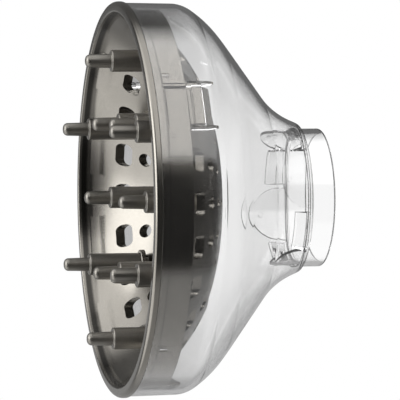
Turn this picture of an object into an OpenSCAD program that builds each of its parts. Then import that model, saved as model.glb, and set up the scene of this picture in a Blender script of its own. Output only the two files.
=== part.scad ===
// Dryer diffuser: a clear bell with a snapped-in collar at its neck, and a grey finger dish in its mouth.
// The collar's mouth is at z = 0 and air flows along +Z, out between the fingers.

/* [Dish] */
// Outside diameter of the dish rim
dish_d = 160; // [150:1:190]
// Height of the rim's front face above the collar mouth
rim_z = 85; // [82:1:95]
// Thickness of the rim flange
rim_h = 3.1; // [2:0.1:5]
// Depth of the skirt behind the rim's front face
skirt_depth = 16; // [14:0.5:18]
// Outside radius of the skirt, inside the bell
skirt_r = 76.6; // [74:0.1:77]
// Radius of the back surface of the dome's middle zone
dome_r = 103; // [95:1:120]
// Depth of the dome's back surface at the centre, behind the rim's front face
dome_depth = 44.8; // [40:0.2:48]
// Wall of the dome
dome_wall = 2.5; // [1.5:0.1:3]

/* [Air holes] */
// Number of slots round the edge of the dome
slot_count = 24; // [12:12:36]
// Pitch radius of the slots
slot_pitch_r = 65.3; // [60:0.1:67]
// Length of a slot along the circle
slot_len = 9.5; // [6:0.1:12]
// Width of a slot
slot_w = 5.7; // [4:0.1:8]
// Radius of a slot's corners
slot_corner_r = 2.4; // [1:0.1:2.8]
// Diameter of the holes between the outer fingers
hole_d = 5.5; // [3:0.1:6.5]
// Diameter of the holes nearer the centre
small_hole_d = 3.6; // [2:0.1:5]

/* [Fingers] */
// Fingers in each of the two rings
finger_count = 6; // [3:1:6]
// Pitch radius of the outer ring
outer_ring_r = 56; // [50:0.5:60]
// Pitch radius of the inner ring
inner_ring_r = 35; // [25:0.5:40]
// Diameter of a finger's thick part
finger_d = 8.9; // [7:0.1:10]
// Diameter of a finger's thin part at its step
finger_thin_d = 5.7; // [4:0.1:6.5]
// Length of the thin part
finger_thin_len = 10.4; // [6:0.1:15]
// Height of the outer fingers' tips above the rim
outer_tip_h = 11.6; // [8:0.1:20]
// Height of the inner fingers' tips above the rim
inner_tip_h = 5.3; // [2:0.1:15]
// Diameter of the boss that a finger stands on
boss_d = 11.5; // [10:0.1:13]

/* [Bell] */
// Wall of the bell
bell_wall = 1.8; // [1.2:0.1:2]
// Outside radius of the bell at its mouth
bell_r = 79.4; // [79:0.1:79.8]
// Radius of the neck's bore
neck_bore_r = 27.8; // [27.7:0.05:28]
// Height of the neck's lower edge
neck_z = 9.6; // [9.4:0.1:10]

/* [Collar] */
// Bore radius of the collar, which the dryer's barrel enters
collar_bore_r = 26.1; // [24:0.1:26.3]
// Outside radius of the collar below the neck
collar_r = 28.1; // [28:0.1:28.5]
// Outside radius of the collar inside the neck
collar_neck_r = 27.4; // [27:0.1:27.5]
// Height of the top of the grip tongues
tongue_top = 23; // [22:0.5:30]
// Angle of the first grip tongue
tongue_angle = 107.5; // [0:0.5:180]

/* [Hidden] */

$fn = 96;
eps = 0.01;
past = 5;                // how far a cutter runs past what it cuts
clear = [0.86, 0.88, 0.88, 0.45];
grey = [0.46, 0.45, 0.42];

// Dish
rim_r = dish_d / 2;
rim_fillet = 1.2;
rim_inner_r = 75.9;
rim_flare_depth = 7.4;    // how far behind the front face the mouth starts to widen
skirt_wall = 2.0;
skirt_back_z = rim_z - skirt_depth;
dome_centre_z = rim_z - dome_depth + dome_r;
dome_edge_r = skirt_r - skirt_wall / 2;

// The dome's outer zone is rounder. It starts at dome_turn degrees from the pole.
dome_turn = 31;
dome_end = 62;
dome_outer_r = 69;
dome_steps = 7;           // straight steps in each zone
outer_centre = [0, dome_centre_z] + (dome_r - dome_outer_r) * [sin(dome_turn), -cos(dome_turn)];

// Rings of small round holes: [pitch radius, number, first angle]
hole_ring_r = 57;
small_hole_rings = [[48.4, 24, 0], [39.5, 12, 0], [28, 12, 15], [18, 6, 0], [9, 6, 30]];

// Fingers
step_chamfer = 0.6;
tip_fillet = 1.9;
finger_tip_d = 5.2;
spigot_d = 5;
spigot_len = 4;
boss_top_above_dome = 5;
outer_first = 0;
inner_first = 180 / finger_count;

// Latches between the dish and the bell
latch_angles = [60, 180, 300];
latch_half = 5.9;        // half width, degrees
pocket_half = 6.4;
pocket_r = 75.6;
pocket_depth_from_rim = 7;
latch_wall = 1.6;
latch_gap = 0.3;         // at the root, where the latch bends
latch_end_z = 60;
barb_r = 76.8;
catch_r = 75.9;
catch_top_z = 67;
catch_bottom_z = 63;
catch_play = 0.4;
fin_angle = 7.3;
fin_w = 1.2;
fin_back_z = 57.4;

// Bell outline, from its mouth down to its neck. Headings are degrees from straight down,
// turning towards the axis. A leg is [radius, end heading], or [0, length] where it is straight.
bell_top_z = rim_z - rim_h;
band_len = 19.9;
band_heading = 1;
bell_legs = [[0, band_len], [11, 34], [46, 51], [200, 53], [0, 24.8], [35, 21]];
arc_steps = 6;
neck_ledge_z = 12.1;
neck_lip_w = 2.4;
neck_ledge_w = 1.5;

// Locating ribs between the bell and the skirt
rib_w = 1.2;
rib_top_z = rim_z - 7;
rib_bottom_z = rim_z - 10;
rib_offsets = [-10, 10, 42.4, 77.6];

// Collar
collar_fillet = 0.5;
collar_shoulder_z = neck_z - 0.3;
ring_top_z = 11;
tab_r = 26.4;             // inside radius of the tongues and hooks
flex_gap = 0.3;
tab_bottom_z = ring_top_z + flex_gap;
tongue_half = 25;
hook_half = 17;
hook_top_z = 17.3;
barb_bottom_z = neck_ledge_z + 0.35;
barb_out = 1.5;
barb_top_z = 16.3;
pip_d = 2;
pip_out = 0.5;
pip_below_top = 3.5;

function heading(a) = [-sin(a), -cos(a)];
function inward(a) = [-cos(a), sin(a)];

// The points of one leg of an outline that is offset towards the axis by w
function leg_points(leg, p, a, w) =
    leg[0] == 0 ? [p + leg[1] * heading(a)] :
    let (s = leg[1] > a ? 1 : -1, r = leg[0] - s * w)
    [for (k = [1:arc_steps]) let (t = a + (leg[1] - a) * k / arc_steps)
        p - s * r * [cos(a) - cos(t), sin(t) - sin(a)]];

function walk(legs, p, a, w, i = 0) =
    i == len(legs) ? [] :
    let (points = leg_points(legs[i], p, a, w))
    concat(points, walk(legs, points[len(points) - 1], legs[i][0] == 0 ? a : legs[i][1], w, i + 1));

function outline(w) =
    let (start = [bell_r, bell_top_z] + w * inward(band_heading))
    concat([[start[0], bell_top_z]], walk(bell_legs, start, band_heading, w));

function reverse(list) = [for (i = [len(list) - 1:-1:0]) list[i]];

// A rounded corner: points on a quarter circle about c, from angle a to b
function corner(c, r, a, b, steps = 5) =
    [for (k = [0:steps]) let (t = a + (b - a) * k / steps) c + r * [cos(t), sin(t)]];

// The dome's surface at depth w in its wall, from the pole to past the skirt
function dome_outline(w) = concat(
    [for (k = [0:dome_steps]) let (t = dome_turn * k / dome_steps)
        [0, dome_centre_z] + (dome_r - w) * [sin(t), -cos(t)]],
    [for (k = [1:dome_steps]) let (t = dome_turn + (dome_end - dome_turn) * k / dome_steps)
        outer_centre + (dome_outer_r - w) * [sin(t), -cos(t)]]);

function dome_front_z(r) =
    let (c = r < dome_r * sin(dome_turn) ? [0, dome_centre_z] : outer_centre)
    let (front_r = (c[0] == 0 ? dome_r : dome_outer_r) - dome_wall)
    c[1] - sqrt(pow(front_r, 2) - pow(r - c[0], 2));

module around(count, first = 0) {
    for (k = [0:count - 1]) rotate(first + k * 360 / count) children();
}

// A part of a revolved outline, half degrees each side of angle
module sector(angle, half) {
    rotate(angle - half) rotate_extrude(angle = 2 * half) children();
}

module box_between(low, high) {
    translate(low) square(high - low);
}

module bell_wall_solid() {
    neck = [
        [neck_bore_r + neck_lip_w, neck_z], [neck_bore_r, neck_z],
        [neck_bore_r, neck_ledge_z], [neck_bore_r + neck_ledge_w, neck_ledge_z]];
    rotate_extrude() polygon(concat(outline(0), neck, reverse(outline(bell_wall))));
}

module catch_fins(angle) {
    sector(angle, fin_angle) box_between([catch_r, catch_bottom_z], [bell_r - bell_wall / 2, catch_top_z]);
    for (side = [-1, 1]) rotate(angle + side * fin_angle) rotate([90, 0, 0])
        linear_extrude(fin_w, center = true) polygon([
            [catch_r - 1, catch_bottom_z - 1], [catch_r - 1, skirt_back_z - 0.5], [bell_r - 1, skirt_back_z - 0.5],
            [bell_r - 2.2, fin_back_z], [catch_r + 0.8, fin_back_z]]);
}

module locating_ribs() {
    for (a = latch_angles, o = rib_offsets) rotate(a + o)
        translate([skirt_r, -rib_w / 2, rib_bottom_z])
            cube([bell_r - bell_wall / 2 - skirt_r, rib_w, rib_top_z - rib_bottom_z]);
}

module funnel_shell() {
    color(clear) {
        bell_wall_solid();
        for (a = latch_angles) catch_fins(a);
        locating_ribs();
    }
}

module rim_and_skirt() {
    inner_r = skirt_r - skirt_wall;
    rotate_extrude() polygon(concat(
        [[inner_r, skirt_back_z], [skirt_r, skirt_back_z], [skirt_r, bell_top_z]],
        [[rim_r - rim_fillet / 2, bell_top_z]],
        corner([rim_r - rim_fillet, rim_z - rim_fillet], rim_fillet, 0, 90),
        [[rim_inner_r, rim_z], [inner_r, rim_z - rim_flare_depth]]));
}

module dome() {
    intersection() {
        rotate_extrude() polygon(concat(dome_outline(0), reverse(dome_outline(dome_wall))));
        cylinder(h = rim_z, r = dome_edge_r);
    }
}

module boss(ring_r) {
    top = dome_front_z(ring_r) + boss_top_above_dome;
    intersection() {
        translate([ring_r, 0, 0]) cylinder(h = top, d = boss_d);
        translate([0, 0, dome_centre_z]) sphere(dome_r - dome_wall / 2);
    }
}

module slot_cutter() {
    reach_r = slot_w / 2 - slot_corner_r;
    reach_len = slot_len / 2 - slot_corner_r;
    translate([slot_pitch_r, 0, 0]) {
        translate([-slot_w / 2, -reach_len, 0]) cube([slot_w, 2 * reach_len, rim_z]);
        translate([-reach_r, -slot_len / 2, 0]) cube([2 * reach_r, slot_len, rim_z]);
        for (a = [-1, 1], b = [-1, 1]) translate([a * reach_r, b * reach_len, 0])
            cylinder(h = rim_z, r = slot_corner_r);
    }
}

module air_holes() {
    around(slot_count) slot_cutter();
    for (k = [0:slot_count - 1]) if (k % (slot_count / finger_count) != 0)
        rotate(k * 360 / slot_count) translate([hole_ring_r, 0, 0]) cylinder(h = rim_z, d = hole_d);
    for (ring = small_hole_rings) around(ring[1], ring[2])
        translate([ring[0], 0, 0]) cylinder(h = rim_z, d = small_hole_d);
}

module latch_pocket(angle) {
    sector(angle, pocket_half)
        box_between([pocket_r, skirt_back_z - past], [skirt_r + past, rim_z - pocket_depth_from_rim]);
}

module spigot_hole(ring_r) {
    top = dome_front_z(ring_r) + boss_top_above_dome;
    translate([ring_r, 0, top - spigot_len]) cylinder(h = spigot_len + eps, d = spigot_d);
}

module dish_shell() {
    color(grey) difference() {
        union() {
            rim_and_skirt();
            dome();
            around(finger_count, outer_first) boss(outer_ring_r);
            around(finger_count, inner_first) boss(inner_ring_r);
        }
        air_holes();
        for (a = latch_angles) latch_pocket(a);
        around(finger_count, outer_first) spigot_hole(outer_ring_r);
        around(finger_count, inner_first) spigot_hole(inner_ring_r);
    }
}

module finger(ring_r, tip_h, angle) {
    foot = dome_front_z(ring_r) + boss_top_above_dome;
    tip = rim_z + tip_h;
    step = tip - finger_thin_len;
    color(grey) rotate(angle) translate([ring_r, 0, 0]) rotate_extrude() polygon(concat(
        [[0, foot - spigot_len], [spigot_d / 2, foot - spigot_len], [spigot_d / 2, foot], [finger_d / 2, foot]],
        [[finger_d / 2, step - step_chamfer], [finger_d / 2 - step_chamfer, step], [finger_thin_d / 2, step]],
        corner([finger_tip_d / 2 - tip_fillet, tip - tip_fillet], tip_fillet, 0, 90),
        [[0, tip]]));
}

module finger_outer(i) {
    finger(outer_ring_r, outer_tip_h, outer_first + (i - 1) * 360 / finger_count);
}

module finger_inner(i) {
    finger(inner_ring_r, inner_tip_h, inner_first + (i - 1) * 360 / finger_count);
}

// A springy tab that hangs behind the skirt. Its barb sits behind the bell's catch bar.
module dish_latch(i) {
    back = catch_bottom_z - catch_play;
    color(grey) sector(latch_angles[i - 1], latch_half) polygon([
        [pocket_r - latch_wall, latch_end_z], [pocket_r - latch_wall, skirt_back_z - latch_gap],
        [pocket_r, skirt_back_z - latch_gap], [pocket_r, back], [barb_r, back], [pocket_r - 0.4, latch_end_z]]);
}

module neck_collar() {
    f = collar_fillet;
    color(clear) rotate_extrude() polygon(concat(
        corner([collar_bore_r + f, f], f, 180, 270),
        corner([collar_r - f, f], f, 270, 360),
        [[collar_r, collar_shoulder_z], [collar_neck_r, collar_shoulder_z],
         [collar_neck_r, ring_top_z], [collar_bore_r, ring_top_z]]));
}

function tab_angle(i, shift) = tongue_angle + shift + (i - 1) * 90;

// A long tongue with a round top, and a pip that presses on the barrel
module grip_tongue(i) {
    half_w = tab_r * sin(tongue_half);
    shoulder = tongue_top - half_w;
    color(clear) rotate(tab_angle(i, 0)) {
        intersection() {
            difference() {
                cylinder(h = tongue_top + past, r = collar_neck_r);
                translate([0, 0, -past]) cylinder(h = tongue_top + 3 * past, r = tab_r);
            }
            translate([tab_r / 2, 0, 0]) rotate([90, 0, 90]) linear_extrude(tab_r) union() {
                box_between([-half_w, tab_bottom_z], [half_w, shoulder]);
                translate([0, shoulder]) intersection() {
                    circle(half_w);
                    box_between([-half_w, tab_bottom_z - shoulder], [half_w, half_w]);
                }
            }
        }
        translate([tab_r - pip_out, 0, tongue_top - pip_below_top]) rotate([0, 90, 0])
            cylinder(h = pip_out + 0.6, d = pip_d);
    }
}

// A short snap hook, whose barb sits on the ledge inside the bell's neck
module collar_hook(i) {
    color(clear) sector(tab_angle(i, 45), hook_half) polygon([
        [tab_r, tab_bottom_z], [collar_neck_r, tab_bottom_z], [collar_neck_r, barb_bottom_z],
        [collar_neck_r + barb_out, barb_bottom_z], [collar_neck_r, barb_top_z],
        [collar_neck_r, hook_top_z], [tab_r, hook_top_z]]);
}

funnel_shell();
dish_shell();
for (i = [1:finger_count]) {
    finger_outer(i);
    finger_inner(i);
}
for (i = [1:len(latch_angles)])
    dish_latch(i);
neck_collar();
for (i = [1:4]) {
    grip_tongue(i);
    collar_hook(i);
}
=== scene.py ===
"""Looks of the dryer diffuser: smooth, detailed pieces and moulded-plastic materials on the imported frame.

The collar's mouth is at z = 0 and +Z runs out between the fingers. Shapes are in millimetres here, and the
mesh helpers turn them into metres.
"""

import math

import bmesh
import bpy
from mathutils import Matrix, Vector


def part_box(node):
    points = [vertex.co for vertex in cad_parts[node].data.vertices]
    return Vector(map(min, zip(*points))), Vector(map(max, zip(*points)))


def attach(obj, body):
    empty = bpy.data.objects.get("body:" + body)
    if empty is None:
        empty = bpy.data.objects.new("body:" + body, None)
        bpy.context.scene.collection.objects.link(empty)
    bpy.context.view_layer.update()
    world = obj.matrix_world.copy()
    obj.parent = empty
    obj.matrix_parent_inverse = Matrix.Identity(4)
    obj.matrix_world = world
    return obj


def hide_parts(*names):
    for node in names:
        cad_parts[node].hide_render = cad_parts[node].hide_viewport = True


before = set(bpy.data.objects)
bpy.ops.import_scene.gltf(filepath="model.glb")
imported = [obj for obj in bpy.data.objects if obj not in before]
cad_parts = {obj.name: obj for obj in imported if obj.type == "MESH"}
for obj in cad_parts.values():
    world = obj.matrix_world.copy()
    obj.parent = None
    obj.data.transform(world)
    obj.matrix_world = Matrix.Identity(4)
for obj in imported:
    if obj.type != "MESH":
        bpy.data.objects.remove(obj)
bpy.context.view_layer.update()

MM = 0.001
TURN = 360
LATHE_STEPS = 360


def low_mm(node):
    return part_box(node)[0] / MM


def high_mm(node):
    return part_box(node)[1] / MM


# Places that the frame gives
RIM_Z = high_mm("dish_shell").z
RIM_R = high_mm("dish_shell").x
DISH_BACK_Z = low_mm("dish_shell").z
BELL_TOP_Z = high_mm("funnel_shell").z
BELL_BOTTOM_Z = low_mm("funnel_shell").z
OUTER_TIP_Z = high_mm("finger_outer_1").z
INNER_TIP_Z = high_mm("finger_inner_1").z
FINGER_R = (high_mm("finger_outer_1").x - low_mm("finger_outer_1").x) / 2
OUTER_RING_R = high_mm("finger_outer_1").x - FINGER_R
INNER_RING_R = high_mm("finger_inner_2").y - FINGER_R
COLLAR_R = high_mm("neck_collar").x
COLLAR_TOP_Z = high_mm("neck_collar").z

# Dish
RIM_FILLET = 1.7
RIM_INNER_FILLET = 0.5
RIM_BACK_FILLET = 0.4
RIM_DRAFT = 0.05
RIM_INNER_R = 75.9
SKIRT_R = 76.6
SKIRT_INNER_R = 74.6
SKIRT_BACK_Z = RIM_Z - 16
SKIRT_FILLET = 0.4

# The skirt's shoulder under the bell's mouth, and the groove behind it
SHOULDER_R = 77.1
SHOULDER_Z = RIM_Z - 6.3
SHOULDER_FILLET = 0.2
SHOULDER_TOP_FILLET = 0.3
GROOVE_R = 76.3
GROOVE_W = 0.5

# The dome: a sphere's cap that turns rounder DOME_TURN degrees from its pole
DOME_R = 103.0
DOME_WALL = 2.5
DOME_OUTER_R = 69.0
DOME_TURN = 31
DOME_CENTRE_Z = DISH_BACK_Z + DOME_R
DOME_FRONT_END_R = 74.85
PANEL_COUNT = 12
PANEL_HALF = 8.1
PANEL_R = (71.4, 75.2)
PANEL_H = 0.22
PANEL_SINK = 0.05

# Air holes. A ring of small holes is (radius, count, first angle).
SLOT_COUNT = 24
SLOT_PITCH_R = 65.3
SLOT_L = 9.5
SLOT_W = 5.7
SLOT_CORNER_R = 2.4
SLOT_CUT_Z = (40, 83)
HOLE_RING_R = 57
HOLE_D = 5.5
HOLE_POINTS = 32
SMALL_HOLE_D = 3.6
SMALL_HOLE_POINTS = 24
SMALL_HOLE_CUT_Z = (35, 83)
SMALL_HOLE_RINGS = ((48.4, 24, 0), (39.5, 12, 0), (28, 12, 15), (18, 6, 0), (9, 6, 30))

# Fingers, in two rings of FINGER_COUNT
FINGER_COUNT = 6
FINGER_POINTS = 64
FINGER_THIN_R = 2.85
FINGER_TIP_R = 2.6
FINGER_THIN_LEN = 10.4
FINGER_EDGE_FILLET = 0.25
FINGER_STEP_FILLET = 0.55
FINGER_TIP_FILLET = 1.9
BOSS_R = 5.75
BOSS_H = 5
BOSS_FILLET = 0.5
BOSS_POINTS = 48
SPIGOT_R = 2.5
SPIGOT_LEN = 4
SPIGOT_PLAY = 0.02
SPIGOT_FILLET = 0.3
SPIGOT_CUT_SPARE = 1

# Painted shade on the wall round the inside of the mouth: the grey's base colour is darkened there
PAINTED_SHADE_R = (75.1, 76.25)
PAINTED_SHADE_Z = (77.2, 83.8)
PAINTED_SHADE_SOFT_R = 0.15
PAINTED_SHADE_SOFT_Z = 0.3
PAINTED_SHADE_STRENGTH = 0.8

# Latches, catches and ribs. Angles, offsets and half widths are in degrees, and offsets are from a latch.
# A pad is (offset, half width).
LATCH_ANGLES = (60, 180, 300)
POCKET_HALF = 6.4
POCKET_R = 75.6
POCKET_TOP_Z = RIM_Z - 7
POCKET_CUT_R = SKIRT_R + 2
POCKET_CUT_Z = SKIRT_BACK_Z - 3
SKIRT_PADS = ((10.5, 3.3), (-11.4, 4.7))
PAD_H = 0.35
PAD_SINK = 0.2
PAD_Z = (SKIRT_BACK_Z + 0.5, SHOULDER_Z - 0.6)
CATCH_R = 75.9
CATCH_Z = (63, 67)
CATCH_FILLET = 0.3
RIB_OFFSETS = (-10, 10, 42.4, 77.6)
RIB_W = 1.2
RIB_Z = (RIM_Z - 10, RIM_Z - 7)

# Bell. A leg is (radius, end heading in degrees), or (0, length) where it is straight.
BELL_WALL = 1.8
BELL_R = 79.4
BELL_MID_WALL_R = BELL_R - BELL_WALL / 2
BELL_TOP_FILLET = 0.3
BAND_HEADING = 1
BELL_LEGS = ((0, 19.9), (11, 34), (46, 51), (200, 53), (0, 24.8), (35, 21))
NECK_BORE_R = 27.8
NECK_LIP_W = 2.4
NECK_LIP_FILLET = 1.1
NECK_LEDGE_Z = 12.1
NECK_LEDGE_W = 1.5
NECK_LEDGE_FILLET = 0.6
NECK_CORNER_FILLET = 0.2

# Gusset fins, FIN_ANGLE degrees each side of a latch, between the catch bar and the bell's side
FIN_ANGLE = 7.3
FIN_W = 1.2
FIN_INNER_R = CATCH_R - 1
FIN_OUTER_R = BELL_R - 1
FIN_TOP_Z = SKIRT_BACK_Z - 0.5
FIN_SLOPE_Z = CATCH_Z[0] - 1
FIN_BACK_R = (CATCH_R + 0.8, BELL_R - 2.2)
FIN_BACK_Z = 57.4

# Collar
COLLAR_BORE_R = 26.1
COLLAR_NECK_R = 27.4
COLLAR_SHOULDER_Z = 9.3
COLLAR_MOUTH_FILLET = 0.8
COLLAR_SHOULDER_FILLET = 0.25
COLLAR_TOP_FILLET = 0.6


# ---------------------------------------------------------------- outlines

def rounded(corners, steps=4, closed=True):
    """An outline with its corners rounded. A corner is (r, z) or (r, z, radius)."""
    out = []
    count = len(corners)
    for i, corner in enumerate(corners):
        point = Vector(corner[:2])
        radius = corner[2] if len(corner) > 2 else 0
        if not radius or (not closed and i in (0, count - 1)):
            out.append(tuple(point))
            continue
        back = (Vector(corners[i - 1][:2]) - point).normalized()
        on = (Vector(corners[(i + 1) % count][:2]) - point).normalized()
        half = back.angle(on) / 2
        centre = point + (back + on).normalized() * radius / math.sin(half)
        first = point + back * radius / math.tan(half) - centre
        last = point + on * radius / math.tan(half) - centre
        sweep = first.angle_signed(last)
        for k in range(steps + 1):
            arm = Matrix.Rotation(-sweep * k / steps, 2) @ first
            out.append(tuple(centre + arm))
    return out


def rectangle(low, high):
    """The four corners between two opposite ones."""
    return [low, (high[0], low[1]), high, (low[0], high[1])]


# ---------------------------------------------------------------- meshes

def new_piece(name, verts, faces):
    """A mesh object from points in millimetres, with its faces turned outwards."""
    mesh = bpy.data.meshes.new(name)
    mesh.from_pydata([Vector(v) * MM for v in verts], [], faces)
    shape = bmesh.new()
    shape.from_mesh(mesh)
    bmesh.ops.remove_doubles(shape, verts=shape.verts, dist=1e-7)
    bmesh.ops.recalc_face_normals(shape, faces=shape.faces)
    shape.to_mesh(mesh)
    shape.free()
    piece = bpy.data.objects.new(name, mesh)
    bpy.context.scene.collection.objects.link(piece)
    return piece


def on_circle(r, z, angle):
    a = math.radians(angle)
    return (r * math.cos(a), r * math.sin(a), z)


def lathe(name, outline, segments=LATHE_STEPS, closed=True, shift=(0, 0)):
    """The outline turned round the line through shift that is parallel to Z."""
    count = len(outline)
    verts = []
    for s in range(segments):
        angle = TURN * s / segments
        for r, z in outline:
            x, y, up = on_circle(r, z, angle)
            verts.append((x + shift[0], y + shift[1], up))
    faces = []
    for s in range(segments):
        this, after = s * count, (s + 1) % segments * count
        for k in range(count if closed else count - 1):
            j = (k + 1) % count
            faces.append((this + k, this + j, after + j, after + k))
    return new_piece(name, verts, faces)


def sector(name, outline, angle, half, steps=8):
    """The part of a turned outline that lies half degrees each side of angle, with closed ends."""
    count = len(outline)
    verts = [on_circle(r, z, angle - half + 2 * half * s / steps)
             for s in range(steps + 1) for r, z in outline]
    faces = [tuple(range(count)), tuple(range(steps * count, (steps + 1) * count))]
    for s in range(steps):
        for k in range(count):
            j = (k + 1) % count
            faces.append((s * count + k, s * count + j, (s + 1) * count + j, (s + 1) * count + k))
    return new_piece(name, verts, faces)


def slab_faces(count):
    """The faces between two copies of an outline of count points, and over both."""
    faces = [tuple(range(count)), tuple(range(count, 2 * count))]
    faces += [(k, (k + 1) % count, count + (k + 1) % count, count + k) for k in range(count)]
    return faces


def prism(name, outline, low, high):
    """A flat outline of (x, y) points, from z = low to z = high."""
    verts = [(x, y, z) for z in (low, high) for x, y in outline]
    return new_piece(name, verts, slab_faces(len(outline)))


def turned(piece, angle):
    """The piece, turned round the Z axis."""
    piece.data.transform(Matrix.Rotation(math.radians(angle), 4, "Z"))
    return piece


def joined(name, pieces):
    """One object that holds the meshes of several."""
    shape = bmesh.new()
    for piece in pieces:
        shape.from_mesh(piece.data)
        bpy.data.objects.remove(piece)
    mesh = bpy.data.meshes.new(name)
    shape.to_mesh(mesh)
    shape.free()
    whole = bpy.data.objects.new(name, mesh)
    bpy.context.scene.collection.objects.link(whole)
    return whole


def combine(piece, other, operation):
    """Adds other to the piece, or cuts it away, and removes other."""
    step = piece.modifiers.new("combine", "BOOLEAN")
    step.operation = operation
    step.solver = "EXACT"
    step.object = other
    bpy.context.view_layer.update()
    result = piece.evaluated_get(bpy.context.evaluated_depsgraph_get())
    mesh = bpy.data.meshes.new_from_object(result)
    piece.modifiers.clear()
    piece.data = mesh
    bpy.data.objects.remove(other)


def smooth(piece, angle=32):
    """Smooth shading that stays flat on broad faces beside small rounded edges."""
    piece.data.shade_smooth()
    piece.data.set_sharp_from_angle(angle=math.radians(angle))
    even = piece.modifiers.new("even_normals", "WEIGHTED_NORMAL")
    even.keep_sharp = True
    even.weight = 80


# ---------------------------------------------------------------- materials

NOISE_MIDDLE = (0.3, 0.7)


def node(tree, kind, **inputs):
    """A new node, with values for its inputs by name, where _ stands for a space."""
    made = tree.nodes.new(kind)
    for name, value in inputs.items():
        made.inputs[name.replace("_", " ")].default_value = value
    return made


def noise(tree, scale, detail=3.0, roughness=0.5):
    """A noise texture in the frame's metres, with scale in ripples per metre."""
    where = node(tree, "ShaderNodeTexCoord")
    made = node(tree, "ShaderNodeTexNoise", Scale=scale, Detail=detail, Roughness=roughness)
    tree.links.new(where.outputs["Object"], made.inputs["Vector"])
    return made


def math_node(tree, operation, first, second):
    """A math node of two inputs, each a socket or a number."""
    made = tree.nodes.new("ShaderNodeMath")
    made.operation = operation
    for place, value in enumerate((first, second)):
        if isinstance(value, bpy.types.NodeSocket):
            tree.links.new(value, made.inputs[place])
        else:
            made.inputs[place].default_value = value
    return made.outputs[0]


def ranged(tree, source, low, high, start, end, kind="LINEAR"):
    """Maps low..high in the source to start..end."""
    made = node(tree, "ShaderNodeMapRange")
    made.interpolation_type = kind
    for name, value in (("From Min", low), ("From Max", high), ("To Min", start), ("To Max", end)):
        made.inputs[name].default_value = value
    tree.links.new(source, made.inputs["Value"])
    return made.outputs["Result"]


def spread(tree, source, low, high):
    """Maps a texture's middle range to low..high."""
    return ranged(tree, source, *NOISE_MIDDLE, low, high, "SMOOTHSTEP")


def length_of(tree, source):
    made = node(tree, "ShaderNodeVectorMath")
    made.operation = "LENGTH"
    tree.links.new(source, made.inputs[0])
    return made.outputs["Value"]


def blend_colours(tree, share, first, second):
    """The first where share is 0 and the second where it is 1, each a socket or a grey level."""
    made = tree.nodes.new("ShaderNodeMix")
    made.data_type = "RGBA"
    for name, value in (("A", first), ("B", second)):
        socket = next(s for s in made.inputs if s.name == name and s.type == "RGBA")
        if isinstance(value, bpy.types.NodeSocket):
            tree.links.new(value, socket)
        else:
            socket.default_value = (value, value, value, 1)
    tree.links.new(share, made.inputs[0])
    return made.outputs[2]


def new_material(name):
    material = bpy.data.materials.new(name)
    material.use_nodes = True
    return material, material.node_tree, material.node_tree.nodes["Principled BSDF"]


def bump(tree, shader, source, strength, distance):
    made = node(tree, "ShaderNodeBump", Strength=strength, Distance=distance)
    tree.links.new(source, made.inputs["Height"])
    tree.links.new(made.outputs["Normal"], shader.inputs["Normal"])


def clear_plastic():
    """Polished clear moulding: faint flow waves, and slightly uneven gloss."""
    material, tree, shader = new_material("clear_moulding")
    shader.inputs["Base Color"].default_value = (0.995, 0.995, 0.995, 1)
    shader.inputs["Transmission Weight"].default_value = 1.0
    shader.inputs["IOR"].default_value = 1.49
    gloss = noise(tree, scale=55, detail=4)
    tree.links.new(spread(tree, gloss.outputs["Fac"], low=0.004, high=0.02), shader.inputs["Roughness"])
    waves = noise(tree, scale=38, detail=1.5)
    bump(tree, shader, waves.outputs["Fac"], strength=0.12, distance=0.0006)
    return material


def between(tree, source, low, high, soft):
    """1 where the source lies between low and high, with soft edges, and 0 elsewhere."""
    rise = ranged(tree, source, low - soft, low + soft, 0, 1, "SMOOTHSTEP")
    fall = ranged(tree, source, high - soft, high + soft, 1, 0, "SMOOTHSTEP")
    return math_node(tree, "MULTIPLY", rise, fall)


def mouth_wall_painted_shade(tree):
    """1 on the wall round the inside of the dish's mouth, where shade is painted into the base colour, and 0
    elsewhere.
    """
    where = node(tree, "ShaderNodeTexCoord")
    flat = node(tree, "ShaderNodeVectorMath")
    flat.operation = "MULTIPLY"
    flat.inputs[1].default_value = (1, 1, 0)
    tree.links.new(where.outputs["Object"], flat.inputs[0])
    radius = length_of(tree, flat.outputs[0])
    split = node(tree, "ShaderNodeSeparateXYZ")
    tree.links.new(where.outputs["Object"], split.inputs[0])
    ring = between(tree, radius, PAINTED_SHADE_R[0] * MM, PAINTED_SHADE_R[1] * MM, PAINTED_SHADE_SOFT_R * MM)
    band = between(tree, split.outputs["Z"], PAINTED_SHADE_Z[0] * MM, PAINTED_SHADE_Z[1] * MM, PAINTED_SHADE_SOFT_Z * MM)
    return math_node(tree, "MULTIPLY", ring, band)


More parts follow.
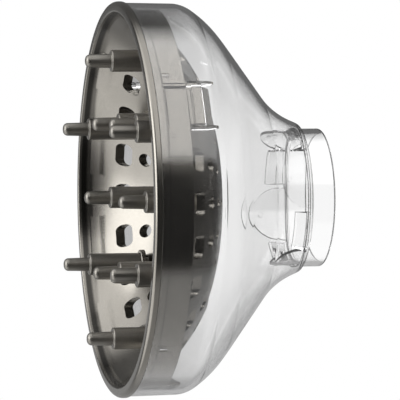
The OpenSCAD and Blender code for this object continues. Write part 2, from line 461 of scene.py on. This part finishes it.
def grey_plastic(name, dark, light, gloss, metal):
    """Grey plastic with metal flake in it: dark and light tones, a range of roughness, and painted shade on
    the wall round the inside of the dish's mouth.
    """
    material, tree, shader = new_material(name)
    shader.inputs["Metallic"].default_value = metal
    shader.inputs["Coat Weight"].default_value = 0.06
    shader.inputs["Coat Roughness"].default_value = 0.25
    tone = noise(tree, scale=30, detail=3)
    flake = noise(tree, scale=5200, detail=1, roughness=0.7)
    ramp = tree.nodes.new("ShaderNodeValToRGB")
    ramp.color_ramp.interpolation = "EASE"
    for element, place, colour in zip(ramp.color_ramp.elements, NOISE_MIDDLE, (dark, light)):
        element.color = (*colour, 1)
        element.position = place
    mixed = tree.nodes.new("ShaderNodeMix")
    mixed.data_type = "FLOAT"
    mixed.inputs["Factor"].default_value = 0.6
    tree.links.new(tone.outputs["Fac"], mixed.inputs["A"])
    tree.links.new(flake.outputs["Fac"], mixed.inputs["B"])
    tree.links.new(mixed.outputs["Result"], ramp.inputs["Fac"])
    # Painted shade: the base colour is blended towards black on the wall round the inside of the mouth
    wall = math_node(tree, "MULTIPLY", mouth_wall_painted_shade(tree), PAINTED_SHADE_STRENGTH)
    tree.links.new(blend_colours(tree, wall, ramp.outputs["Color"], 0.0), shader.inputs["Base Color"])
    tree.links.new(spread(tree, tone.outputs["Fac"], *gloss), shader.inputs["Roughness"])
    grain = noise(tree, scale=2600, detail=2)
    bump(tree, shader, grain.outputs["Fac"], strength=0.1, distance=0.00006)
    return material


CLEAR = clear_plastic()
GREY = grey_plastic(
    "metallic_grey_moulding",
    dark=(0.148, 0.14, 0.125), light=(0.218, 0.206, 0.186), gloss=(0.2, 0.26), metal=0.95)
FINGER_GREY = grey_plastic(
    "satin_grey_moulding",
    dark=(0.13, 0.123, 0.11), light=(0.2, 0.19, 0.172), gloss=(0.34, 0.42), metal=0.85)


def cover(piece, material):
    piece.data.materials.clear()
    piece.data.materials.append(material)


def dress(piece, material, body, slot, *nodes):
    """Gives a new piece its material and its body, and hides the CAD nodes that it stands for. The slot is
    not used.
    """
    cover(piece, material)
    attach(piece, body)
    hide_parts(*nodes)


def dress_grey(piece, body, *nodes, material=GREY):
    dress(piece, material, body, "metallic_grey_plastic", *nodes)


def dress_clear(piece, body, *nodes):
    dress(piece, CLEAR, body, "clear_plastic", *nodes)


# ---------------------------------------------------------------- dish

DOME_TURN_RAD = math.radians(DOME_TURN)
DOME_OUTER_CENTRE = Vector((
    (DOME_R - DOME_OUTER_R) * math.sin(DOME_TURN_RAD),
    DOME_CENTRE_Z - (DOME_R - DOME_OUTER_R) * math.cos(DOME_TURN_RAD)))


def dome_z(r, wall):
    """Height at radius r of the surface that lies wall millimetres inside the dome's back."""
    if r < (DOME_R - wall) * math.sin(DOME_TURN_RAD):
        return DOME_CENTRE_Z - math.sqrt((DOME_R - wall) ** 2 - r ** 2)
    return DOME_OUTER_CENTRE.y - math.sqrt((DOME_OUTER_R - wall) ** 2 - (r - DOME_OUTER_CENTRE.x) ** 2)


def dome_line(wall, end_r, count=36):
    """Points of that surface from the pole to end_r."""
    radii = [end_r * k / count for k in range(count + 1)]
    return [(r, dome_z(r, wall)) for r in radii]


def panel(angle):
    """A thin raised pad on the dome's front surface, beside the rim's wall."""
    steps = 6
    radii = [PANEL_R[0] + (PANEL_R[1] - PANEL_R[0]) * k / steps for k in range(steps + 1)]
    low = [(r, dome_z(r, DOME_WALL / 2)) for r in radii]
    high = [(r, dome_z(r, DOME_WALL) + PANEL_H) for r in radii[:0:-1]]
    edge = (PANEL_R[0], dome_z(PANEL_R[0], DOME_WALL) - PANEL_SINK)
    return sector("panel", low + high + [edge], angle, PANEL_HALF, steps=16)


def dish_outline():
    """The dish's whole section, from the pole of the dome's back to the pole of its front."""
    back = dome_line(0, SKIRT_INNER_R)
    front = dome_line(DOME_WALL, DOME_FRONT_END_R, count=90)
    walls = rounded([
        back[-1],
        (SKIRT_INNER_R, SKIRT_BACK_Z, SKIRT_FILLET),
        (SKIRT_R, SKIRT_BACK_Z, SKIRT_FILLET),
        (SKIRT_R, SHOULDER_Z - GROOVE_W),
        (GROOVE_R, SHOULDER_Z - GROOVE_W),
        (GROOVE_R, SHOULDER_Z),
        (SHOULDER_R, SHOULDER_Z, SHOULDER_FILLET),
        (SHOULDER_R, BELL_TOP_Z, SHOULDER_TOP_FILLET),
        (RIM_R - RIM_DRAFT, BELL_TOP_Z, RIM_BACK_FILLET),
        (RIM_R, RIM_Z, RIM_FILLET),
        (RIM_INNER_R, RIM_Z, RIM_INNER_FILLET),
        front[-1],
    ], closed=False)
    return back[:-1] + walls[:-1] + front[::-1]


def round_line(radius, count, centre=(0, 0)):
    """A circle of count points."""
    return [(x + centre[0], y + centre[1])
            for x, y in (on_circle(radius, 0, TURN * k / count)[:2] for k in range(count))]


def slot_line():
    corners = rectangle((SLOT_PITCH_R - SLOT_W / 2, -SLOT_L / 2), (SLOT_PITCH_R + SLOT_W / 2, SLOT_L / 2))
    return rounded([(x, y, SLOT_CORNER_R) for x, y in corners], steps=8)


def hole_cutter(diameter, ring_r, angle, cut_z, points):
    return turned(prism("hole", round_line(diameter / 2, points, (ring_r, 0)), *cut_z), angle)


def air_hole_cutters():
    """Cutters for the slots, for a hole inside each slot except at the outer fingers, and for small holes."""
    angles = [k * TURN / SLOT_COUNT for k in range(SLOT_COUNT)]
    cutters = [turned(prism("slot", slot_line(), *SLOT_CUT_Z), angle) for angle in angles]
    slots_per_finger = SLOT_COUNT // FINGER_COUNT
    for k, angle in enumerate(angles):
        if k % slots_per_finger:
            cutters.append(hole_cutter(HOLE_D, HOLE_RING_R, angle, SLOT_CUT_Z, HOLE_POINTS))
    for ring_r, count, first in SMALL_HOLE_RINGS:
        for k in range(count):
            angle = first + k * TURN / count
            cutters.append(hole_cutter(SMALL_HOLE_D, ring_r, angle, SMALL_HOLE_CUT_Z, SMALL_HOLE_POINTS))
    return cutters


def ring_spots():
    """Each finger's node name, ring radius, angle and tip height."""
    spots = []
    pitch = TURN / FINGER_COUNT
    for k in range(FINGER_COUNT):
        spots.append((f"finger_outer_{k + 1}", OUTER_RING_R, k * pitch, OUTER_TIP_Z))
        spots.append((f"finger_inner_{k + 1}", INNER_RING_R, (k + 0.5) * pitch, INNER_TIP_Z))
    return spots


def boss_top(ring_r):
    """Height of a boss's top on the ring of that radius."""
    return dome_z(ring_r, DOME_WALL) + BOSS_H


def boss(ring_r, angle):
    """The round boss on the dome that a finger stands on."""
    top = boss_top(ring_r)
    low = dome_z(ring_r + BOSS_R, DOME_WALL / 2)
    sides = rounded([(0, top), (BOSS_R, top, BOSS_FILLET), (BOSS_R, low), (0, low)], closed=False)
    return lathe("boss", sides, BOSS_POINTS, closed=False, shift=on_circle(ring_r, 0, angle)[:2])


def spigot_cutter(ring_r, angle):
    top = boss_top(ring_r)
    line = round_line(SPIGOT_R, HOLE_POINTS, on_circle(ring_r, 0, angle)[:2])
    return prism("spigot", line, top - SPIGOT_LEN, top + SPIGOT_CUT_SPARE)


def build_dish():
    dish = lathe("dish_fine", dish_outline(), closed=False)
    cutters = air_hole_cutters()
    panels = [panel((k + 0.5) * TURN / PANEL_COUNT) for k in range(PANEL_COUNT)]
    bosses = [boss(ring_r, angle) for _, ring_r, angle, _ in ring_spots()]
    cutters += [spigot_cutter(ring_r, angle) for _, ring_r, angle, _ in ring_spots()]
    pocket = rectangle((POCKET_R, POCKET_CUT_Z), (POCKET_CUT_R, POCKET_TOP_Z))
    cutters += [sector("pocket", pocket, angle, POCKET_HALF) for angle in LATCH_ANGLES]
    pad = rectangle((SKIRT_R - PAD_SINK, PAD_Z[0]), (SKIRT_R + PAD_H, PAD_Z[1]))
    pads = [sector("pad", pad, angle + offset, half, steps=7)
            for angle in LATCH_ANGLES for offset, half in SKIRT_PADS]
    combine(dish, joined("panels", panels), "UNION")
    combine(dish, joined("pads", pads), "UNION")
    combine(dish, joined("bosses", bosses), "UNION")
    combine(dish, joined("cutters", cutters), "DIFFERENCE")
    smooth(dish)
    dress_grey(dish, "bell", "dish_shell")


def build_fingers():
    for name, ring_r, angle, tip in ring_spots():
        foot = boss_top(ring_r)
        step = tip - FINGER_THIN_LEN
        spigot_r = SPIGOT_R - SPIGOT_PLAY
        sides = [
            (0, foot - SPIGOT_LEN),
            (spigot_r, foot - SPIGOT_LEN, SPIGOT_FILLET),
            (spigot_r, foot),
            (FINGER_R, foot, FINGER_EDGE_FILLET),
            (FINGER_R, step, FINGER_STEP_FILLET),
            (FINGER_THIN_R, step, FINGER_EDGE_FILLET),
            (FINGER_TIP_R, tip, FINGER_TIP_FILLET),
            (0, tip)]
        outline = rounded(sides, steps=7, closed=False)
        spot = on_circle(ring_r, 0, angle)[:2]
        finger = lathe(name + "_fine", outline, FINGER_POINTS, closed=False, shift=spot)
        smooth(finger, angle=40)
        dress_grey(finger, "bell", name, material=FINGER_GREY)


# ---------------------------------------------------------------- bell

def bell_line(wall, step_deg=1.5):
    """The bell's side at depth wall in it, from the mouth to the neck, as legs with turning headings."""
    heading = math.radians(BAND_HEADING)
    r = BELL_R - wall * math.cos(heading)
    z = BELL_TOP_Z + wall * math.sin(heading)
    line = [(r, BELL_TOP_Z)]
    for radius, end in BELL_LEGS:
        if not radius:
            r, z = r - end * math.sin(heading), z - end * math.cos(heading)
            line.append((r, z))
            continue
        goal = math.radians(end)
        side = 1 if goal > heading else -1
        offset = radius - side * wall
        steps = max(3, round(abs(end - math.degrees(heading)) / step_deg))
        start, at = (r, z), heading
        for k in range(1, steps + 1):
            t = at + (goal - at) * k / steps
            r = start[0] - side * offset * (math.cos(at) - math.cos(t))
            z = start[1] - side * offset * (math.sin(t) - math.sin(at))
            line.append((r, z))
        heading = goal
    return line


def bell_outline():
    """The bell's whole section: its outside down to the neck, and its inside back up."""
    outer, inner = bell_line(0), bell_line(BELL_WALL)
    outer_top = [(outer[0][0], BELL_TOP_Z, BELL_TOP_FILLET)]
    inner_top = [(inner[0][0], BELL_TOP_Z, BELL_TOP_FILLET)]
    neck = [
        (NECK_BORE_R + NECK_LIP_W, BELL_BOTTOM_Z, NECK_LIP_FILLET),
        (NECK_BORE_R, BELL_BOTTOM_Z, NECK_LIP_FILLET),
        (NECK_BORE_R, NECK_LEDGE_Z, NECK_LEDGE_FILLET),
        (NECK_BORE_R + NECK_LEDGE_W, NECK_LEDGE_Z, NECK_CORNER_FILLET)]
    return rounded(outer_top + outer[1:] + neck + inner[:0:-1] + inner_top, steps=6)


def fin(angle):
    """An upright gusset that joins an end of the catch bar to the bell's side."""
    line = [
        (FIN_INNER_R, FIN_SLOPE_Z), (FIN_INNER_R, FIN_TOP_Z), (FIN_OUTER_R, FIN_TOP_Z),
        (FIN_BACK_R[1], FIN_BACK_Z), (FIN_BACK_R[0], FIN_BACK_Z)]
    verts = [(r, side * FIN_W / 2, z) for side in (-1, 1) for r, z in line]
    return turned(new_piece("fin", verts, slab_faces(len(line))), angle)


def rib(angle):
    """A small locating rib between the bell's wall and the skirt's shoulder."""
    line = rectangle((SHOULDER_R, -RIB_W / 2), (BELL_MID_WALL_R, RIB_W / 2))
    return turned(prism("rib", line, *RIB_Z), angle)


def build_bell():
    bell = lathe("bell_fine", bell_outline())
    bar = rounded([
        (CATCH_R, CATCH_Z[0], CATCH_FILLET), (BELL_MID_WALL_R, CATCH_Z[0]),
        (BELL_MID_WALL_R, CATCH_Z[1]), (CATCH_R, CATCH_Z[1], CATCH_FILLET)])
    bars = [sector("bar", bar, angle, FIN_ANGLE, steps=16) for angle in LATCH_ANGLES]
    fins = [fin(angle + side * FIN_ANGLE) for angle in LATCH_ANGLES for side in (-1, 1)]
    ribs = [rib(angle + offset) for angle in LATCH_ANGLES for offset in RIB_OFFSETS]
    combine(bell, joined("bars", bars), "UNION")
    combine(bell, joined("fins", fins + ribs), "UNION")
    smooth(bell)
    dress_clear(bell, "bell", "funnel_shell")


def build_collar():
    sides = [
        (COLLAR_BORE_R, 0, COLLAR_MOUTH_FILLET),
        (COLLAR_R, 0, COLLAR_MOUTH_FILLET),
        (COLLAR_R, COLLAR_SHOULDER_Z, COLLAR_SHOULDER_FILLET),
        (COLLAR_NECK_R, COLLAR_SHOULDER_Z),
        (COLLAR_NECK_R, COLLAR_TOP_Z, COLLAR_TOP_FILLET),
        (COLLAR_BORE_R, COLLAR_TOP_Z, COLLAR_TOP_FILLET)]
    collar = lathe("collar_fine", rounded(sides, steps=6))
    smooth(collar)
    dress_clear(collar, "collar", "neck_collar")


def dress_cad_nodes():
    """The small tabs keep their CAD shape, and get the materials of what they are moulded with."""
    for name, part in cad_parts.items():
        if name.startswith("dish_latch"):
            cover(part, GREY)
        if name.startswith(("grip_tongue", "collar_hook")):
            cover(part, CLEAR)


# ---------------------------------------------------------------- studio

# The studio's brightness round the object: degrees from -Y towards +X, and brightness
STUDIO = (
    (-180, 0.5), (-135, 0.45), (-125, 0.9), (-100, 0.85), (-75, 0.7), (-46, 0.65), (-38, 0.05),
    (22, 0.05), (28, 2.1), (105, 2.0), (125, 0.15), (180, 0.15))

# The brightness overhead at the ends of OVERHEAD_X, and the stretches of a unit direction where it fades
OVERHEAD = (2.4, 2.7)
OVERHEAD_X = (-0.5, 0.5)
OVERHEAD_FRONT = (-0.55, -0.3)
OVERHEAD_BACK = (0.45, 0.75)
OVERHEAD_Z = (0.3, 0.6)

# The world's strength, which every brightness is a share of
PEAK = 3.0

# The brightness below the object: x of a unit direction, and brightness
BELOW = ((-0.9, 0.35), (-0.3, 0.35), (-0.08, 0.1), (0.08, 0.1), (0.22, 0.6), (0.9, 0.6))
BELOW_Z = (-0.7, -0.5)

# The studio's brightness where clear plastic bends the view away from the floor
PAST_FLOOR = 0.25

# The floor's brightness through clear plastic: by distance from the axis in metres, then by x and by y
BACKDROP = ((0.13, 1.0), (0.20, 0.88), (0.25, 0.74), (0.30, 0.6), (0.34, 0.5), (0.9, 0.5))
BACKDROP_SPAN = 2.0
BACKDROP_SIDES = (
    (-0.15, 0.2), (-0.09, 0.9), (-0.068, 0.95), (-0.04, 1.0),
    (0.01, 1.0), (0.047, 0.8), (0.085, 0.6), (0.15, 0.2))
BACKDROP_HALF = 0.15
BACKDROP_NEAR = (-0.06, -0.032)
BACKDROP_NEAR_LEVEL = 0.6

FLOOR_R = 4
FLOOR_POINTS = 96
FLOOR_Z = -0.0004

LAMP_AT = (0.35, -0.1, 1.5)
LAMP_AIM = (0, 0, 0.05)
LAMP_SIZE = (1.2, 1.0)
LAMP_WATTS = 12

# The camera's direction in degrees, its distance in metres and its lens in millimetres
CAMERA_AIM = (-0.00049, 0, 0.0496)
CAMERA_ABOVE = 12.67
CAMERA_ASIDE = 1.61
CAMERA_ROLL = -0.32
CAMERA_AWAY = 1.695
CAMERA_LENS = 376.5
CAMERA_SENSOR = 36
CAMERA_CLIP = (0.05, 20)


def stops(tree, source, pairs):
    """A grey ramp through (position, value) pairs."""
    ramp = tree.nodes.new("ShaderNodeValToRGB")
    elements = ramp.color_ramp.elements
    while len(elements) < len(pairs):
        elements.new(0.5)
    for element, (place, value) in zip(elements, pairs):
        element.position = place
        element.color = (value, value, value, 1)
    tree.links.new(source, ramp.inputs["Fac"])
    return ramp.outputs["Color"]


def seen_share(tree):
    """1 for what the camera sees directly or through clear plastic, and 0 for what lights the object."""
    path = node(tree, "ShaderNodeLightPath")
    bounces = math_node(tree, "ADD", path.outputs["Diffuse Depth"], path.outputs["Glossy Depth"])
    return math_node(tree, "LESS_THAN", bounces, 0.5)


def through_clear(tree):
    """1 for what is seen through clear plastic, and 0 for the rest."""
    path = node(tree, "ShaderNodeLightPath")
    return math_node(tree, "GREATER_THAN", path.outputs["Transmission Depth"], 0.5)


def build_world():
    """A dark camera side, a bright panel on +X, a softer one on -X and a broad one overhead."""
    world = bpy.data.worlds.new("studio")
    bpy.context.scene.world = world
    world.use_nodes = True
    tree = world.node_tree
    tree.nodes.clear()
    where = node(tree, "ShaderNodeTexCoord")
    split = node(tree, "ShaderNodeSeparateXYZ")
    tree.links.new(where.outputs["Generated"], split.inputs[0])
    forward = math_node(tree, "MULTIPLY", split.outputs["Y"], -1)
    angle = math_node(tree, "ARCTAN2", split.outputs["X"], forward)
    level = ranged(tree, angle, -math.pi, math.pi, 0, 1)
    sides = stops(tree, level, [((degrees + 180) / TURN, value / PEAK) for degrees, value in STUDIO])
    across = ranged(tree, split.outputs["X"], *OVERHEAD_X, OVERHEAD[0] / PEAK, OVERHEAD[1] / PEAK)
    front = ranged(tree, split.outputs["Y"], *OVERHEAD_FRONT, 0, 1, "SMOOTHSTEP")
    back = ranged(tree, split.outputs["Y"], *OVERHEAD_BACK, 1, 0, "SMOOTHSTEP")
    above = math_node(tree, "MULTIPLY", across, math_node(tree, "MULTIPLY", front, back))
    below = stops(tree, ranged(tree, split.outputs["X"], -1, 1, 0, 1),
                  [((x + 1) / 2, value / PEAK) for x, value in BELOW])
    height = ranged(tree, split.outputs["Z"], *OVERHEAD_Z, 0, 1, "SMOOTHSTEP")
    depth = ranged(tree, split.outputs["Z"], *BELOW_Z, 1, 0, "SMOOTHSTEP")
    lit = blend_colours(tree, depth, blend_colours(tree, height, sides, above), below)
    seen = blend_colours(tree, through_clear(tree), 1 / PEAK, PAST_FLOOR / PEAK)
    glow = node(tree, "ShaderNodeBackground", Strength=PEAK)
    tree.links.new(blend_colours(tree, seen_share(tree), lit, seen), glow.inputs["Color"])
    out = node(tree, "ShaderNodeOutputWorld")
    tree.links.new(glow.outputs[0], out.inputs["Surface"])


def build_floor():
    """A pale floor under the collar's mouth. Light passes it, and clear plastic shows it graded."""
    bpy.ops.mesh.primitive_circle_add(
        vertices=FLOOR_POINTS, radius=FLOOR_R, fill_type="NGON", location=(0, 0, FLOOR_Z))
    floor = bpy.context.object
    floor.name = "floor"
    material, tree, shader = new_material("pale_floor")
    tree.nodes.remove(shader)
    where = node(tree, "ShaderNodeTexCoord")
    share = math_node(tree, "DIVIDE", length_of(tree, where.outputs["Object"]), BACKDROP_SPAN)
    graded = stops(tree, share, [(distance / BACKDROP_SPAN, value) for distance, value in BACKDROP])
    split = node(tree, "ShaderNodeSeparateXYZ")
    tree.links.new(where.outputs["Object"], split.inputs[0])
    across = ranged(tree, split.outputs["X"], -BACKDROP_HALF, BACKDROP_HALF, 0, 1)
    sides = stops(tree, across, [((x / BACKDROP_HALF + 1) / 2, value) for x, value in BACKDROP_SIDES])
    near = ranged(tree, split.outputs["Y"], *BACKDROP_NEAR, BACKDROP_NEAR_LEVEL, 1)
    fade = math_node(tree, "MINIMUM", sides, near)
    graded = blend_colours(tree, fade, 0.0, graded)
    glow = node(tree, "ShaderNodeEmission")
    tree.links.new(blend_colours(tree, through_clear(tree), 1.0, graded), glow.inputs["Color"])
    gap = node(tree, "ShaderNodeBsdfTransparent")
    both = tree.nodes.new("ShaderNodeMixShader")
    tree.links.new(seen_share(tree), both.inputs[0])
    tree.links.new(gap.outputs[0], both.inputs[1])
    tree.links.new(glow.outputs[0], both.inputs[2])
    tree.links.new(both.outputs[0], tree.nodes["Material Output"].inputs["Surface"])
    floor.data.materials.append(material)


def build_lights():
    """A soft panel overhead."""
    data = bpy.data.lights.new("overhead_panel", "AREA")
    data.shape = "RECTANGLE"
    data.size, data.size_y = LAMP_SIZE
    data.energy = LAMP_WATTS
    lamp = bpy.data.objects.new("overhead_panel", data)
    lamp.location = LAMP_AT
    lamp.rotation_mode = "QUATERNION"
    lamp.rotation_quaternion = (lamp.location - Vector(LAMP_AIM)).to_track_quat("Z", "Y")
    bpy.context.scene.collection.objects.link(lamp)


def build_camera():
    """The camera looks from -Y, a little down on the fingers, and is rolled so that +Z points left."""
    above, side, roll = (math.radians(degrees) for degrees in (CAMERA_ABOVE, CAMERA_ASIDE, CAMERA_ROLL))
    toward = Vector((math.sin(side), -math.cos(above) * math.cos(side), math.sin(above) * math.cos(side)))
    right = Vector((0, -math.sin(above), -math.cos(above)))
    up = toward.cross(right)
    turn = Matrix((
        right * math.cos(roll) + up * math.sin(roll),
        up * math.cos(roll) - right * math.sin(roll),
        toward)).transposed()
    data = bpy.data.cameras.new("camera")
    data.sensor_width = CAMERA_SENSOR
    data.lens = CAMERA_LENS
    data.clip_start, data.clip_end = CAMERA_CLIP
    camera = bpy.data.objects.new("camera", data)
    camera.matrix_world = Matrix.Translation(Vector(CAMERA_AIM) + toward * CAMERA_AWAY) @ turn.to_4x4()
    bpy.context.scene.collection.objects.link(camera)
    bpy.context.scene.camera = camera


build_camera()
build_world()
build_floor()
build_lights()
build_bell()
build_dish()
build_fingers()
build_collar()
dress_cad_nodes()
bpy.context.scene.view_settings.view_transform = "Standard"
